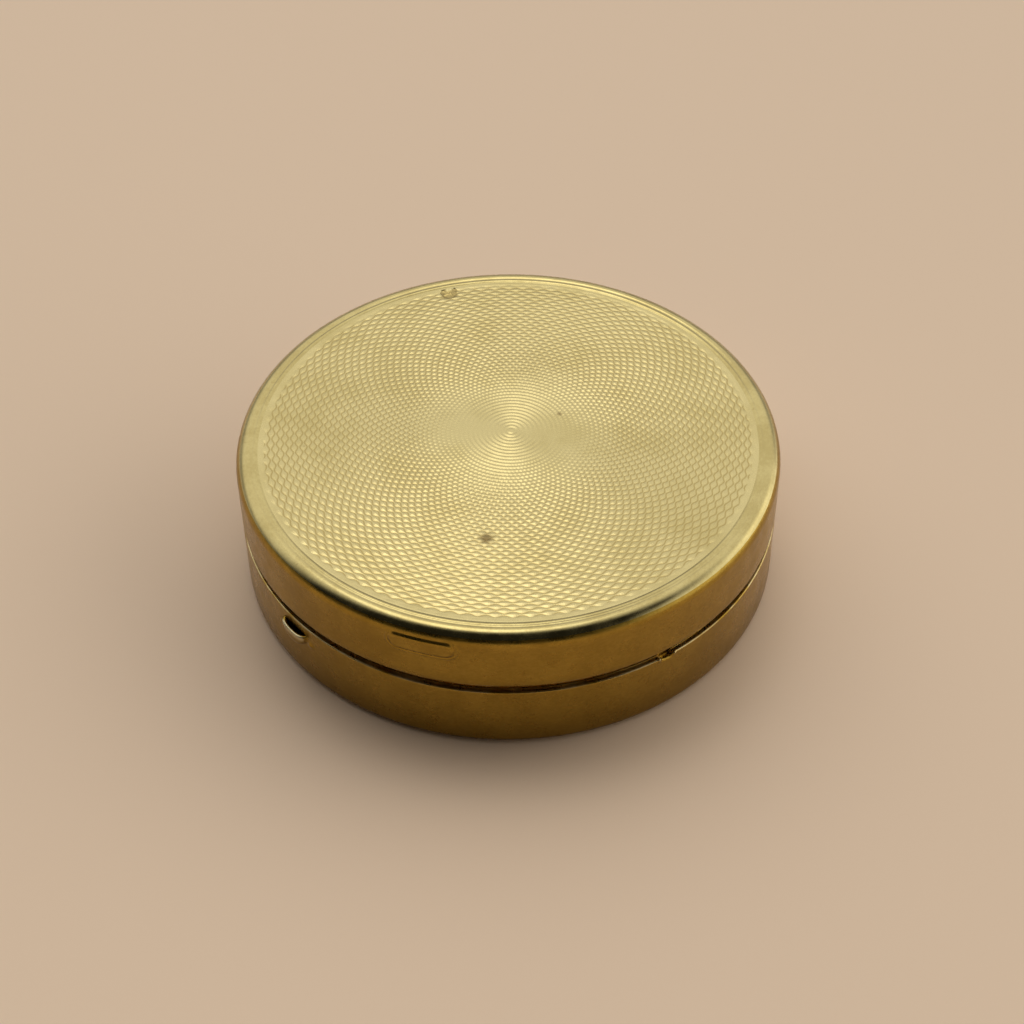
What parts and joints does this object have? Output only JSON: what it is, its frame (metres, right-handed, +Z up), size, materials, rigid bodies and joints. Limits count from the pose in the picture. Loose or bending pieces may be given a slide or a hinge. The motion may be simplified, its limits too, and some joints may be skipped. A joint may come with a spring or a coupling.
{
  "type": "powder compact",
  "caption": "Round gilt brass powder compact with an engine-turned lid, hinged back, mirror, inner powder cover, pan and puff.",
  "frame": {"origin": "centre of the flat bottom, on the surface the compact rests on", "axes": "+Z up through the engine-turned lid face; the lid hinge stands at the back right, 39.5 degrees from +X towards +Y, and the thumb lip is opposite it"},
  "size_m": [0.05, 0.05, 0.0136],
  "materials": {
    "engine_turned_gilt": "engine-turned gilt brass, bright on the crests",
    "satin_gilt_wall": "satin gilt brass, aged brown, faintly mottled",
    "inner_gilt": "clean gilt brass, semi-bright",
    "hinge_brass": "polished brass with dulled corners",
    "spring_bronze": "phosphor bronze strip, fine grained",
    "steel_pin": "drawn steel wire",
    "mirror_glass": "silvered plate glass with a polished bevel",
    "backing_card": "grey-brown fibre card",
    "pan_tin": "drawn tin plate, satin",
    "pressed_powder": "pressed face powder, matt and fine grained",
    "puff_velour": "cotton velour with a short pile",
    "puff_satin": "satin weave, soft sheen",
    "ribbon_grosgrain": "ribbed ribbon"
  },
  "bodies": {
    "base": {"base_shell": "satin_gilt_wall", "base_collar": "inner_gilt", "snap_spring_left": "spring_bronze", "snap_spring_right": "spring_bronze", "spring_rivets": "hinge_brass", "base_hinge_leaf": "hinge_brass", "hinge_pin": "steel_pin", "powder_pan": "pan_tin", "powder_cake": "pressed_powder", "pan_ring": "inner_gilt", "cover_bracket": "hinge_brass", "cover_pin": "steel_pin", "puff_pad": "puff_velour", "puff_backing": "puff_satin", "puff_ribbon": "ribbon_grosgrain"},
    "lid": {"lid_shell": "engine_turned_gilt", "lid_hinge_leaf": "hinge_brass", "mirror_backing": "backing_card", "mirror_glass": "mirror_glass", "mirror_bezel": "inner_gilt"},
    "powder_cover": {"inner_cover": "inner_gilt", "cover_tab": "inner_gilt"}
  },
  "joints": [
    {"name": "lid_hinge", "type": "hinge", "parent": "base", "child": "lid", "pos_m": [0.02025, 0.0167, 0.0072], "axis": [-0.6361, 0.7716, 0], "range_deg": [0, 110]},
    {"name": "powder_cover_hinge", "type": "hinge", "parent": "base", "child": "powder_cover", "pos_m": [0.01705, 0.01406, 0.00935], "axis": [-0.6361, 0.7716, 0], "range_deg": [0, 100]}
  ],
  "couplings": [
    {"joint": "powder_cover_hinge", "follows": "lid_hinge", "ratio": 0.909}
  ]
}
